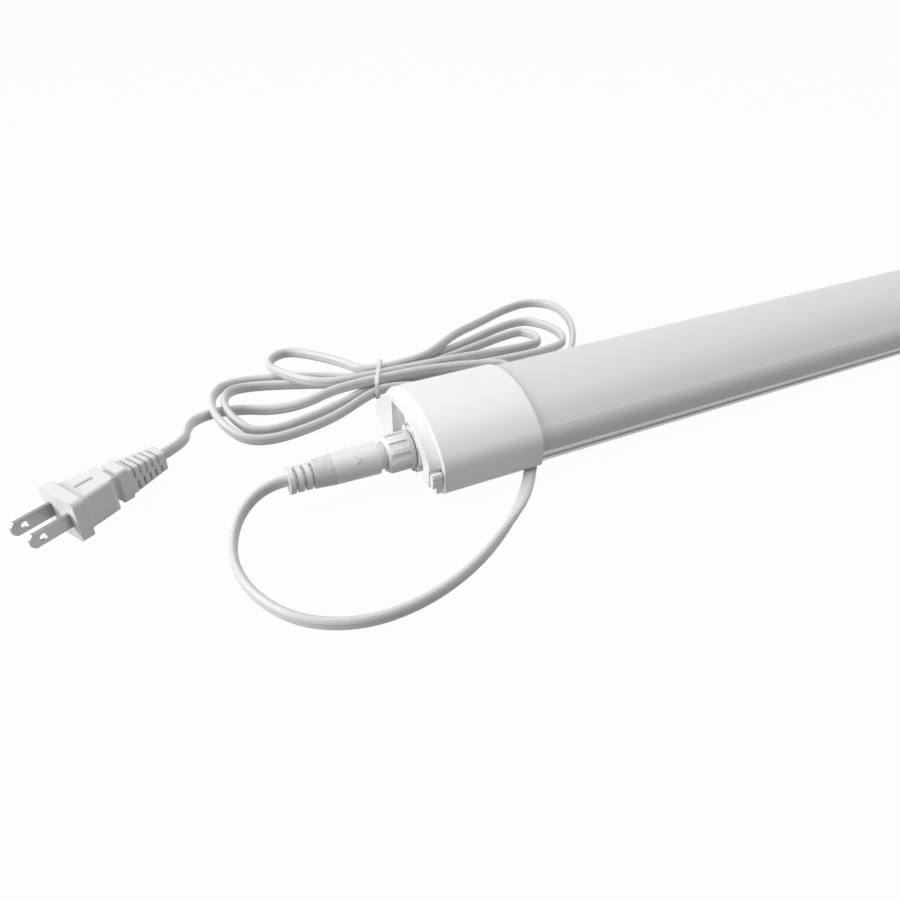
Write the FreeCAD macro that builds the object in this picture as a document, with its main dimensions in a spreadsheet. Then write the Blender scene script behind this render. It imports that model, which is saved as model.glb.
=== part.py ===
import FreeCAD, Part
import Sketcher
import math
import os
import re

# Four-foot LED shop light lying on its hanging clips, diffuser up, with its mains lead plugged in.
# X runs along the light from the lead's end, Y away from the viewer, Z up from the surface it lies on.
# All sizes are millimetres, and all angles are degrees.

Vec = FreeCAD.Vector
ALONG_X = FreeCAD.Rotation(Vec(0, 1, 0), 90)
ALONG_Y = FreeCAD.Rotation(Vec(1, 0, 0), -90)
UPRIGHT = FreeCAD.Rotation()

DIMENSIONS = {
    # housing
    "rim_span": 1190,
    "clip_height": 5,
    "sleeve_width": 66,
    "sleeve_height": 32,
    "sleeve_length": 47.6,
    "sleeve_wall": 1.3,
    "crown_radius": 41,
    "shoulder_radius": 11,
    "corner_radius": 4,
    "corner_share": 0.75,
    "slip_fit": 0.05,
    # aluminium base
    "base_setback": 9.6,
    "base_side_height": 6.3,
    "base_wall": 2.2,
    "base_floor": 1.6,
    "screw_skin": 0.3,
    "groove_depth": 0.9,
    "groove_width": 1.6,
    "groove_height": 3,
    # diffuser
    "diffuser_wall": 1.5,
    "diffuser_leg": 3,
    "snap_clearance": 0.1,
    # end plugs
    "plug_reach": 5.5,
    "plug_step": 3,
    "plug_depth": 8,
    "plug_plate": 3,
    "plug_skirt": 1.5,
    "recess_half_width": 23,
    "recess_far": 10,
    "recess_top": 26,
    "recess_radius": 25.5,
    "notch_width": 4.2,
    "notch_height": 13,
    "band_foot": 4.4,
    "tab_start": 0.5,
    "tab_length": 4.5,
    "tab_inset": 1.5,
    "tab_bottom": 5,
    "tab_height": 6.5,
    "tab_rib": 0.5,
    "tab_rib_pitch": 2.4,
    "step_length": 3,
    "step_reach": 6,
    "step_width": 4,
    "step_bottom": 1.5,
    "step_height": 3.5,
    "gasket_thickness": 1.5,
    "gasket_rim": 2.5,
    # tray, boards and chips
    "tray_height": 12,
    "tray_half_width": 17,
    "tray_flange": 8,
    "sheet_thickness": 0.8,
    "tray_margin": 20,
    "tray_screw_radius": 1.5,
    "tray_screw_pitch": 380,
    "board_width": 24,
    "board_thickness": 1.2,
    "board_margin": 22.4,
    "board_gap": 6,
    "link_overlap": 4,
    "chip_length": 3.5,
    "chip_width": 2.8,
    "chip_thickness": 0.7,
    "chip_pitch": 11,
    # driver
    "driver_start": 70,
    "driver_length": 190,
    "driver_width": 28,
    "driver_height": 10.6,
    "driver_wall": 0.8,
    "card_thickness": 1.2,
    "card_length": 176,
    "card_standoff": 1.6,
    "transformer_length": 14,
    "transformer_width": 15,
    "transformer_height": 5.9,
    "capacitor_radius": 3,
    "capacitor_length": 14,
    "input_capacitor_share": 0.25,
    "output_capacitor_share": 0.72,
    "wire_radius": 0.8,
    "wire_hole_across": 6,
    "wire_hole_start": 15,
    "wire_straight": 18,
    "wire_descent": 24,
    "wire_lap": 8,
    "wire_tail": 4,
    # inlet and lead connector
    "inlet_across": -6,
    "inlet_height": 9.8,
    "seal_thickness": 1,
    "seal_radius": 10,
    "flange_radius": 11,
    "flange_thickness": 3,
    "flange_notch": 3,
    "flange_notches": 8,
    "thread_radius": 7,
    "thread_length": 8.5,
    "barrel_radius": 5.6,
    "barrel_length": 7,
    "back_nut_radius": 6.8,
    "back_nut_thickness": 2.4,
    "nose_radius": 5.2,
    "pin_radius": 1,
    "pin_spacing": 5,
    "contact_wall": 0.6,
    "pin_length": 18,
    "pin_inner_end": 9,
    "contact_start": 4.6,
    "contact_length": 7.4,
    "nut_start": 4.7,
    "nut_radius": 8.7,
    "nut_drum": 9.6,
    "nut_taper": 2.3,
    "nut_taper_radius": 7.2,
    "nut_pockets": 10,
    "pocket_width": 3.2,
    "pocket_length": 7.4,
    "pocket_depth": 0.8,
    "neck_radius": 5.6,
    "running_fit": 0.1,
    "ring_thickness": 0.7,
    "body_start": 20.1,
    "body_radius": 7.25,
    "body_length": 20,
    "body_rear_radius": 6.8,
    "fine_rings": 7,
    "fine_ring_pitch": 1.2,
    "fine_ring_length": 0.7,
    "fine_ring_radius": 6.1,
    "fine_ring_growth": 0.1,
    "fine_ring_depth": 0.4,
    "relief_ribs": 3,
    "relief_pitch": 3.5,
    "relief_radius": 5.8,
    "relief_core_radius": 3.6,
    "relief_rib": 2.2,
    "relief_bar": 1.5,
    "arrow_size": 2.4,
    "arrow_rise": 0.4,
    "arrow_angle": 45,
    # mains plug
    "plug_x": -144.7,
    "plug_y": 19.5,
    "plug_turn": 29.8,
    "face_width": 23.2,
    "face_height": 19.3,
    "face_thickness": 5,
    "face_round": 2.5,
    "grip_length": 16.5,
    "grip_width": 18,
    "grip_end_width": 14.8,
    "grip_height": 16,
    "grip_round": 3.5,
    "grip_edge": 1.5,
    "throat_length": 2.5,
    "throat_width": 7.5,
    "throat_height": 11,
    "block_length": 4.5,
    "block_width": 11.6,
    "block_height": 15.8,
    "block_edge": 1.5,
    "tail_length": 19,
    "tail_width": 11.4,
    "tail_height": 13.4,
    "tail_end_width": 9,
    "tail_end_height": 9.6,
    "tail_edge": 1.5,
    "tail_core": 5,
    "tail_web": 1.2,
    "tail_slots": 5,
    "tail_slot_width": 0.9,
    "tail_slot_start": 2.2,
    "tail_slot_shift": 0.9,
    "bar_start": 3.4,
    "bar_length": 8.2,
    "bar_width": 1.6,
    "bar_depth": 0.8,
    "blade_chamfer": 1.5,
    "blade_height": 6.35,
    "blade_thickness": 1.52,
    "blade_spacing": 12.7,
    "blade_reach": 17,
    "blade_root": 8,
    "blade_hole_radius": 1.55,
    "blade_hole_reach": 11.8,
    # lead
    "lead_radius": 2.2,
    "layer_step": 5.6,
    "slot_pitch": 5,
    "waist_x": 12.2,
    "waist_y": 73.3,
    "waist_half": 6,
    "waist_handover": 14,
    "right_loop_drop": 6.3,
    "tie_width": 2,
    "tie_thickness": 1,
    "tie_clearance": 0.2,
    "tie_slack": 0.6,
    "tie_turn": -26,
    # hanging clips
    "clip_offset": 275,
    "clip_length": 20,
    "clip_sheet": 1,
    "clip_arm": 0.8,
    "clip_screw_radius": 2.25,
    "slide_fit": 0.1,
    "ear_half_spacing": 13,
    "ear_length": 8,
    "ear_thickness": 1,
    "pivot_height": 2.4,
    "bail_radius": 1,
    "bail_reach": 38,
    "bail_half_width": 16,
    "bail_tip_half_width": 5,
    "bail_shoulder": 24,
    "bail_inner_end": 10.5,
    "pivot_fit": 0.075,
    "bail_rest_drop": 1.35,
    "bead_bottom": 3.15,
    "bead_height": 1.2,
    "bead_depth": 0.6,
}

# Values that follow from the driving dimensions.
DERIVED = {
    "inlet_reach": "seal_thickness + flange_thickness + thread_length",
    "near_rim": "(inlet_reach - plug_reach - rim_span) / 2",
    "far_rim": "near_rim + rim_span",
    "body_inset": "sleeve_wall + slip_fit",
    "base_bottom": "clip_height + body_inset",
    "base_top": "base_bottom + base_side_height",
    "base_half_width": "sleeve_width / 2 - body_inset",
    "base_start": "near_rim + base_setback",
    "base_length": "rim_span - 2 * base_setback",
    "floor_top": "base_bottom + base_floor",
    "groove_bottom": "base_bottom + groove_height",
    "tray_top": "floor_top + tray_height",
    "axis_y": "inlet_across",
    "axis_z": "clip_height + inlet_height",
    "flange_face": "near_rim - seal_thickness - flange_thickness",
    "thread_tip": "near_rim - inlet_reach",
    "shoulder_x": "thread_tip - seal_thickness",
    "nut_front": "near_rim - nut_start",
    "nut_back": "nut_front - nut_drum - nut_taper",
    "nut_bore_end": "shoulder_x - ring_thickness - 2 * slip_fit",
    "body_front": "near_rim - body_start",
    "body_back": "body_front - body_length",
    "fine_back": "body_back - fine_rings * fine_ring_pitch",
    "relief_back": "fine_back - relief_ribs * relief_pitch",
    "board_start": "base_start + tray_margin + board_margin",
    "board_length": "base_length / 2 - tray_margin - board_gap / 2 - board_margin",
    "board_middle": "board_start + board_length + board_gap / 2",
    "case_start": "near_rim + driver_start",
    "card_bottom": "floor_top + driver_wall + card_standoff",
    "card_top": "card_bottom + card_thickness",
    "plug_length": "face_thickness + grip_length + throat_length + block_length + tail_length",
    "tail_pitch": "(tail_length - tail_slot_start) / (tail_slots + 0.4)",
    "plate_top": "base_bottom - slide_fit",
    "plate_bottom": "plate_top - clip_sheet",
}

doc = FreeCAD.newDocument("ShopLight")
sheet = doc.addObject("Spreadsheet::Sheet", "Dims")
nodes = {}


def fill_sheet():
    for row, (alias, value) in enumerate(DIMENSIONS.items(), start=1):
        sheet.set(f"A{row}", alias)
        sheet.set(f"B{row}", str(value))
        sheet.setAlias(f"B{row}", alias)
    doc.recompute()


def link(text):
    """Turns a size written with plain names into an expression on the sheet."""

    def swap(match):
        name = match.group(0)
        if name in DERIVED:
            return "(" + link(DERIVED[name]) + ")"
        return "Dims." + name if name in DIMENSIONS else name

    return re.sub(r"[A-Za-z_]\w*", swap, str(text))


def size(text):
    """The number that a size written with plain names has now."""
    cells = {name: float(sheet.get(name)) for name in DIMENSIONS}

    def swap(match):
        name = match.group(0)
        if name in DERIVED:
            return "(" + re.sub(r"[A-Za-z_]\w*", swap, DERIVED[name]) + ")"
        return repr(cells[name])

    return number_of(re.sub(r"[A-Za-z_]\w*", swap, str(text)))


def number_of(text):
    return float(FreeCAD.Units.Quantity(text).Value)


def bind(obj, **sizes):
    for name, text in sizes.items():
        obj.setExpression(name, link(text))


def put(obj, x=0, y=0, z=0, turn=None):
    if turn:
        obj.Placement = FreeCAD.Placement(Vec(), turn)
    for axis, text in zip("xyz", (x, y, z)):
        obj.setExpression(f".Placement.Base.{axis}", link(text))
    return obj


def box(name, length, width, height, x=0, y=0, z=0):
    obj = doc.addObject("Part::Box", name)
    bind(obj, Length=length, Width=width, Height=height)
    return put(obj, x, y, z)


def rod(name, radius, length, x=0, y=0, z=0, turn=ALONG_X):
    obj = doc.addObject("Part::Cylinder", name)
    bind(obj, Radius=radius, Height=length)
    return put(obj, x, y, z, turn)


def taper(name, start_radius, end_radius, length, x=0, y=0, z=0, turn=ALONG_X):
    obj = doc.addObject("Part::Cone", name)
    bind(obj, Radius1=start_radius, Radius2=end_radius, Height=length)
    return put(obj, x, y, z, turn)


def cut(name, base, *tools):
    obj = doc.addObject("Part::Cut", name)
    obj.Base = base
    obj.Tool = tools[0] if len(tools) == 1 else join(name + "Tools", *tools)
    return obj


def join(name, *shapes):
    obj = doc.addObject("Part::MultiFuse", name)
    obj.Shapes = list(shapes)
    return obj


def overlap(name, *shapes):
    obj = doc.addObject("Part::MultiCommon", name)
    obj.Shapes = list(shapes)
    return obj


def node(label, obj):
    obj.Label = label
    nodes[label] = obj
    return obj


def solid_node(label, shape):
    obj = doc.addObject("Part::Feature", label)
    obj.Shape = shape
    return node(label, obj)


def origin_plane(body, role):
    return next(item for item in body.Origin.OriginFeatures if item.Role == role)


def housing_sketch(body, name, inset, x):
    """The light's section at one inset from the sleeves' outside: flat back, low sides and a crowned top."""
    half = size(f"sleeve_width / 2 - ({inset})")
    low = size(f"clip_height + ({inset})")
    top = size(f"clip_height + sleeve_height - ({inset})")
    crown = size(f"crown_radius - ({inset})")
    shoulder = size(f"shoulder_radius - ({inset})")
    corner = size(f"corner_radius - ({inset}) * corner_share")
    centre = top - crown
    rise = math.sqrt((crown - shoulder) ** 2 - (half - shoulder) ** 2)
    spring = centre + rise
    angle = math.atan2(rise, half - shoulder)
    sketch = body.newObject("Sketcher::SketchObject", name)
    sketch.AttachmentSupport = [(origin_plane(body, "YZ_Plane"), "")]
    sketch.MapMode = "FlatFace"
    sketch.setExpression(".AttachmentOffset.Base.z", link(x))

    def line(y1, z1, y2, z2):
        return Part.LineSegment(Vec(y1, z1, 0), Vec(y2, z2, 0))

    def arc(y, z, radius, start, end):
        return Part.ArcOfCircle(Part.Circle(Vec(y, z, 0), Vec(0, 0, 1), radius), start, end)

    quarter = math.pi / 2
    sketch.addGeometry(
        [
            line(corner - half, low, half - corner, low),
            arc(half - corner, low + corner, corner, -quarter, 0),
            line(half, low + corner, half, spring),
            arc(half - shoulder, spring, shoulder, 0, angle),
            arc(0, centre, crown, angle, quarter),
            arc(0, centre, crown, quarter, math.pi - angle),
            arc(shoulder - half, spring, shoulder, math.pi - angle, math.pi),
            line(-half, spring, -half, low + corner),
            arc(corner - half, low + corner, corner, math.pi, 3 * quarter),
        ]
    )
    for first in range(9):
        sketch.addConstraint(Sketcher.Constraint("Tangent", first, 2, (first + 1) % 9, 1))
    sketch.addConstraint(Sketcher.Constraint("Vertical", 2))
    sketch.addConstraint(Sketcher.Constraint("Vertical", 7))
    sketch.addConstraint(Sketcher.Constraint("Symmetric", 0, 1, 0, 2, -2))
    sketch.addConstraint(Sketcher.Constraint("Equal", 1, 8))
    sketch.addConstraint(Sketcher.Constraint("Equal", 3, 6))
    sketch.addConstraint(Sketcher.Constraint("Equal", 4, 5))
    sketch.addConstraint(Sketcher.Constraint("PointOnObject", 4, 2, -2))
    sketch.addConstraint(Sketcher.Constraint("PointOnObject", 4, 3, -2))
    measures = (
        (Sketcher.Constraint("Radius", 1, corner), f"corner_radius - ({inset}) * corner_share"),
        (Sketcher.Constraint("Radius", 3, shoulder), f"shoulder_radius - ({inset})"),
        (Sketcher.Constraint("Radius", 4, crown), f"crown_radius - ({inset})"),
        (Sketcher.Constraint("DistanceX", -1, 1, 2, 1, half), f"sleeve_width / 2 - ({inset})"),
        (Sketcher.Constraint("DistanceY", -1, 1, 0, 1, low), f"clip_height + ({inset})"),
        (Sketcher.Constraint("DistanceY", -1, 1, 4, 2, top), f"clip_height + sleeve_height - ({inset})"),
    )
    for constraint, text in measures:
        index = sketch.addConstraint(constraint)
        sketch.setExpression(f"Constraints[{index}]", link(text))
    return sketch


def pad(body, sketch, length):
    feature = body.newObject("PartDesign::Pad", sketch.Name + "Pad")
    feature.Profile = sketch
    bind(feature, Length=length)
    return feature


def pocket(body, sketch, length):
    """Cuts towards +X from the sketch."""
    feature = body.newObject("PartDesign::Pocket", sketch.Name + "Pocket")
    feature.Profile = sketch
    feature.Reversed = True
    bind(feature, Length=length)
    return feature


def new_body(name):
    return doc.addObject("PartDesign::Body", name)


def outward(end, start, stop):
    """Where the stretch from start to stop, measured outwards from one end's rim, begins along X."""
    return f"near_rim - ({stop})" if end == "near" else f"far_rim + ({start})"


def build_sleeve(end):
    start = "near_rim" if end == "near" else "far_rim - sleeve_length"
    body = new_body("Sleeve_" + end)
    pad(body, housing_sketch(body, "SleeveOuter_" + end, "0", start), "sleeve_length")
    pocket(body, housing_sketch(body, "SleeveInner_" + end, "sleeve_wall", start), "sleeve_length")
    node("end_sleeve_" + end, body)


def build_base():
    body = new_body("BaseBlank")
    pad(body, housing_sketch(body, "BaseOuter", "body_inset", "base_start"), "base_length")
    side = "-sleeve_width / 2"
    above = box("AboveBase", "base_length", "sleeve_width", "sleeve_height", "base_start", side, "base_top")
    inside = box(
        "BaseInside", "base_length", "2 * (base_half_width - base_wall)", "sleeve_height",
        "base_start", "base_wall - base_half_width", "floor_top",
    )
    grooves = [
        box(
            "Groove_" + side, "base_length", "groove_depth", "groove_width",
            "base_start", y, "groove_bottom",
        )
        for side, y in (("front", "-base_half_width"), ("back", "base_half_width - groove_depth"))
    ]
    holes = [
        rod(
            f"TrayHole_{index}", "tray_screw_radius + slip_fit", "base_floor - screw_skin",
            x, y, "base_bottom + screw_skin", UPRIGHT,
        )
        for index, (x, y) in enumerate(tray_screw_places())
    ]
    node("base_channel", cut("Base", body, above, inside, *grooves, *holes))


def tray_screw_places():
    rows = ("tray_half_width + tray_flange / 2", "-(tray_half_width + tray_flange / 2)")
    return [(x, y) for x in ("-tray_screw_pitch", "0", "tray_screw_pitch") for y in rows]


def build_diffuser():
    body = new_body("DiffuserBlank")
    pad(body, housing_sketch(body, "DiffuserOuter", "body_inset", "base_start"), "base_length")
    inner = housing_sketch(body, "DiffuserInner", "body_inset + diffuser_wall", "base_start")
    pocket(body, inner, "base_length")
    below = box("BelowDiffuser", "base_length", "sleeve_width", "base_top", "base_start", "-sleeve_width / 2", "0")
    shell = cut("DiffuserShell", body, below)
    leg_outer = "base_half_width - base_wall - snap_clearance"
    shelf = "diffuser_wall * 2 + base_wall + snap_clearance - diffuser_wall / 2"
    legs = []
    for side, sign in (("front", -1), ("back", 1)):
        leg_y = f"{leg_outer} - diffuser_wall" if sign > 0 else f"-({leg_outer})"
        shelf_y = f"{leg_outer} - diffuser_wall" if sign > 0 else f"-({leg_outer} - diffuser_wall + {shelf})"
        legs.append(
            box(
                "DiffuserLeg_" + side, "base_length", "diffuser_wall", "diffuser_leg + diffuser_wall",
                "base_start", leg_y, "base_top - diffuser_leg",
            )
        )
        legs.append(
            box(
                "DiffuserShelf_" + side, "base_length", shelf, "diffuser_wall",
                "base_start", shelf_y, "base_top",
            )
        )
    outline = new_body("DiffuserOutline")
    pad(outline, housing_sketch(outline, "DiffuserLimit", "body_inset", "base_start"), "base_length")
    node("diffuser", overlap("Diffuser", join("DiffuserWithLegs", shell, *legs), outline))


def build_tray():
    start = "base_start + tray_margin"
    length = "base_length - 2 * tray_margin"
    sheet_top = "tray_top - sheet_thickness"
    parts = [box("TrayTop", length, "2 * tray_half_width", "sheet_thickness", start, "-tray_half_width", sheet_top)]
    for side, web_y, flange_y in (
        ("front", "-tray_half_width", "-tray_half_width - tray_flange"),
        ("back", "tray_half_width - sheet_thickness", "tray_half_width"),
    ):
        parts += [
            box("TrayWeb_" + side, length, "sheet_thickness", "tray_height", start, web_y, "floor_top"),
            box("TrayFlange_" + side, length, "tray_flange", "sheet_thickness", start, flange_y, "floor_top"),
        ]
    holes = [
        rod(
            f"FlangeHole_{index}", "tray_screw_radius + slip_fit", "3 * sheet_thickness",
            x, y, "floor_top - sheet_thickness", UPRIGHT,
        )
        for index, (x, y) in enumerate(tray_screw_places())
    ]
    holes += wire_holes("TrayWireHole", "3 * sheet_thickness", "tray_top - 2 * sheet_thickness")
    node("led_tray", cut("Tray", join("TrayBent", *parts), *holes))
    radius = size("tray_screw_radius")
    seat = size("floor_top + sheet_thickness")
    tip = size("base_bottom + screw_skin + running_fit")
    screws = []
    for x, y in tray_screw_places():
        place = Vec(size(x), size(y), 0)
        shank = Part.makeCylinder(radius, seat - tip, place + Vec(0, 0, tip))
        head = Part.makeCylinder(2 * radius, radius, place + Vec(0, 0, seat))
        screws.append(shank.fuse(head).removeSplitter())
    solid_node("tray_screws", Part.makeCompound(screws))


def build_boards():
    starts = {"near": "board_start", "far": "board_middle + board_gap / 2"}
    chip = [size(name) for name in ("chip_length", "chip_width", "chip_thickness")]
    top = size("tray_top + board_thickness")
    chips = []
    for end, start in starts.items():
        board = box(
            "Board_" + end, "board_length", "board_width", "board_thickness",
            start, "-board_width / 2", "tray_top",
        )
        if end == "near":
            board = cut("BoardDrilled", board, *wire_holes("BoardWireHole", "board_thickness", "tray_top"))
        node("led_board_" + end, board)
        pitch = size("chip_pitch")
        count = int(size("board_length") // pitch)
        first = size(start) + (size("board_length") - (count - 1) * pitch) / 2
        for index in range(count):
            corner = Vec(first + index * pitch - chip[0] / 2, -chip[1] / 2, top)
            chips.append(Part.makeBox(*chip, corner))
    solid_node("led_chips", Part.makeCompound(chips))
    wire = size("wire_radius")
    reach = size("board_gap / 2 + link_overlap")
    start = size("board_middle") - reach
    links = [
        Part.makeCylinder(wire, 2 * reach, Vec(start, side * size("board_width / 4"), top + wire), Vec(1, 0, 0))
        for side in (-1, 1)
    ]
    solid_node("board_link_wires", Part.makeCompound(links))


def build_driver():
    case = box(
        "CaseOuter", "driver_length", "driver_width", "driver_height",
        "case_start", "-driver_width / 2", "floor_top",
    )
    hollow = box(
        "CaseInner", "driver_length", "driver_width - 2 * driver_wall", "driver_height - 2 * driver_wall",
        "case_start", "driver_wall - driver_width / 2", "floor_top + driver_wall",
    )
    node("driver_case", cut("Case", case, hollow))
    card_width = "driver_width - 2 * driver_wall - 2 * slip_fit"
    card_start = "case_start + (driver_length - card_length) / 2"
    node(
        "driver_board",
        box("Card", "card_length", card_width, "card_thickness", card_start, f"-({card_width}) / 2", "card_bottom"),
    )
    node(
        "driver_transformer",
        box(
            "Transformer", "transformer_length", "transformer_width", "transformer_height",
            "case_start + driver_length / 2", "-transformer_width / 2", "card_top",
        ),
    )
    for label in ("input_capacitor", "output_capacitor"):
        share = label + "_share"
        start = f"case_start + driver_length * {share}"
        node(
            "driver_" + label,
            rod(label, "capacitor_radius", "capacitor_length", start, 0, "card_top + capacitor_radius"),
        )


def polyline_path(points, share=0.45):
    """Straight runs joined by tangent arcs, with the route's length and least arc radius."""
    edges = []
    last = points[0]
    length = 0
    tightest = math.inf
    for before, corner, after in zip(points, points[1:], points[2:]):
        inward = (corner - before).normalize()
        onward = (after - corner).normalize()
        turn = inward.getAngle(onward)
        trim = share * min((corner - before).Length, (after - corner).Length)
        arc_radius = trim / math.tan(turn / 2)
        tightest = min(tightest, arc_radius)
        bisector = (onward - inward).normalize()
        middle = corner + bisector * (arc_radius / math.cos(turn / 2) - arc_radius)
        start = corner - inward * trim
        stop = corner + onward * trim
        edges.append(Part.LineSegment(last, start).toShape())
        edges.append(Part.Arc(start, middle, stop).toShape())
        length += (start - last).Length + arc_radius * turn
        last = stop
    edges.append(Part.LineSegment(last, points[-1]).toShape())
    length += (points[-1] - last).Length
    return Part.Wire(edges), length, tightest


def polyline_tube(points, radius):
    points = [Vec(*point) for point in points]
    path, length, tightest = polyline_path(points)
    ring = Part.Wire(Part.makeCircle(radius, points[0], points[1] - points[0]))
    return path.makePipeShell([ring], True, False), length, tightest


def lay_tube(label, points, radius):
    tube, length, tightest = polyline_tube(points, radius)
    section = math.pi * radius**2
    share = tube.Volume / section / length
    print(f"{label}: length {length:.0f}, least radius {tightest:.1f}, volume share {share:.4f}")
    return solid_node(label, tube)


def build_end_plug(end):
    """Moulded cap: plate, spigot and a band with stepped corner notches and a recess arched at one side."""
    outer = new_body("PlugBand_" + end)
    profile = housing_sketch(outer, "BandProfile_" + end, "plug_step", outward(end, "0", "plug_reach"))
    pad(outer, profile, "plug_reach")
    spigot_start = "near_rim" if end == "near" else "far_rim - plug_depth"
    spigot = new_body("PlugSpigot_" + end)
    pad(spigot, housing_sketch(spigot, "SpigotProfile_" + end, "body_inset", spigot_start), "plug_depth")
    cavity_start = "near_rim + plug_plate" if end == "near" else "far_rim - plug_depth"
    cavity = housing_sketch(spigot, "CavityProfile_" + end, "body_inset + plug_skirt", cavity_start)
    pocket(spigot, cavity, "plug_depth - plug_plate")
    band_x = outward(end, "0", "plug_reach")
    recess_centre = "clip_height + recess_top - recess_radius"
    arch = overlap(
        "Arch_" + end,
        rod("ArchRound_" + end, "recess_radius", "plug_reach", band_x, 0, recess_centre),
        box(
            "ArchSide_" + end, "plug_reach", "recess_half_width", "sleeve_height",
            band_x, "-recess_half_width" if end == "near" else "0", "clip_height",
        ),
    )
    straight = box(
        "RecessStraight_" + end, "plug_reach", "recess_far", "recess_top",
        band_x, "0" if end == "near" else "-recess_far", "clip_height",
    )
    foot = box(
        "BandFoot_" + end, "plug_reach", "sleeve_width", "band_foot",
        band_x, "-sleeve_width / 2", "clip_height",
    )
    removed = [arch, straight, foot]
    added = []
    notch_inner = "(sleeve_width / 2 - notch_width)"
    tab_outer = "(sleeve_width / 2 - tab_inset)"
    for side, sign in (("front", -1), ("back", 1)):

        def across(inner, width):
            return inner if sign > 0 else f"-({inner}) - ({width})"

        removed.append(
            box(
                f"Notch_{end}_{side}", "plug_reach", "notch_width", "notch_height",
                band_x, across(notch_inner, "notch_width"), "clip_height",
            )
        )
        tab_x = outward(end, "tab_start", "tab_start + tab_length")
        tab_width = "notch_width - tab_inset"
        added.append(
            box(
                f"Tab_{end}_{side}", "tab_length", tab_width, "tab_height",
                tab_x, across(notch_inner, tab_width), "clip_height + tab_bottom",
            )
        )
        for index in (1, 2):
            added.append(
                box(
                    f"TabRib_{end}_{side}_{index}", "tab_length", "tab_rib", "2 * tab_rib",
                    tab_x, across(tab_outer, "tab_rib"), f"clip_height + tab_bottom + {index} * tab_rib_pitch",
                )
            )
        added.append(
            box(
                f"Step_{end}_{side}", "step_length", "step_width", "step_height",
                outward(end, "0", "step_length"), across("sleeve_width / 2 - step_reach", "step_width"),
                "clip_height + step_bottom",
            )
        )
    band = cut("BandCut_" + end, outer, *removed)
    blank = join("PlugBlank_" + end, band, spigot, *added)
    if end == "near":
        hole = rod("BarrelHole", "barrel_radius + slip_fit", "plug_plate", "near_rim", "axis_y", "axis_z")
        blank = cut("PlugWithHole", blank, hole)
    node("end_plug_" + end, blank)


def build_gasket(end):
    start = "near_rim + plug_depth" if end == "near" else "far_rim - plug_depth - gasket_thickness"
    body = new_body("Gasket_" + end)
    pad(body, housing_sketch(body, "GasketOuter_" + end, "body_inset", start), "gasket_thickness")
    opening = housing_sketch(body, "GasketInner_" + end, "body_inset + gasket_rim", start)
    pocket(body, opening, "gasket_thickness")
    node("end_gasket_" + end, body)


def ring_shape(name, outer, inner, length, x):
    """A plain ring about the inlet's axis."""
    return cut(
        name,
        rod(name + "Outer", outer, length, x, "axis_y", "axis_z"),
        rod(name + "Inner", inner, length, x, "axis_y", "axis_z"),
    )


def pin_row(name, radius, length, x):
    rows = ("axis_y - pin_spacing / 2", "axis_y + pin_spacing / 2")
    return [rod(f"{name}_{index}", radius, length, x, y, "axis_z") for index, y in enumerate(rows)]


def build_inlet():
    flange = rod("Flange", "flange_radius", "flange_thickness", "flange_face", "axis_y", "axis_z")
    count = int(size("flange_notches"))
    notches = []
    for index in range(count):
        notch = box("FlangeNotch", "flange_thickness", "flange_notch", "flange_notch")
        notch.Label = f"FlangeNotch_{index}"
        angle = 360 * (index + 0.5) / count
        turn = FreeCAD.Rotation(Vec(1, 0, 0), angle)
        reach = size("flange_radius - flange_notch / 2")
        half = size("flange_notch / 2")
        centre = turn.multVec(Vec(0, -half, reach))
        notch.Placement = FreeCAD.Placement(Vec(), turn)
        notch.setExpression(".Placement.Base.x", link("flange_face"))
        notch.setExpression(".Placement.Base.y", link(f"axis_y + {centre.y}"))
        notch.setExpression(".Placement.Base.z", link(f"axis_z + {centre.z}"))
        notches.append(notch)
    thread = rod("Thread", "thread_radius", "thread_length", "thread_tip", "axis_y", "axis_z")
    barrel = rod("Barrel", "barrel_radius", "barrel_length", "near_rim - seal_thickness", "axis_y", "axis_z")
    bore_length = "thread_length + flange_thickness / 3"
    bore = rod("NoseBore", "nose_radius + running_fit", bore_length, "thread_tip", "axis_y", "axis_z")
    pin_length = "barrel_length + flange_thickness"
    pin_holes = pin_row("PinHole", "pin_radius + slip_fit", pin_length, "flange_face")
    node(
        "inlet_socket",
        cut("Socket", join("SocketBlank", cut("FlangeCut", flange, *notches), thread, barrel), bore, *pin_holes),
    )
    pins = pin_row("Pin", "pin_radius", "pin_length", "near_rim + pin_inner_end - pin_length")
    pins_node = doc.addObject("Part::Compound", "Pins")
    pins_node.Links = pins
    node("inlet_pins", pins_node)
    hole = "barrel_radius + slip_fit"
    node("inlet_seal", ring_shape("Seal", "seal_radius", hole, "seal_thickness", "near_rim - seal_thickness"))
    node(
        "inlet_back_nut",
        ring_shape("BackNut", "back_nut_radius", hole, "back_nut_thickness", "near_rim + plug_plate"),
    )


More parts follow.
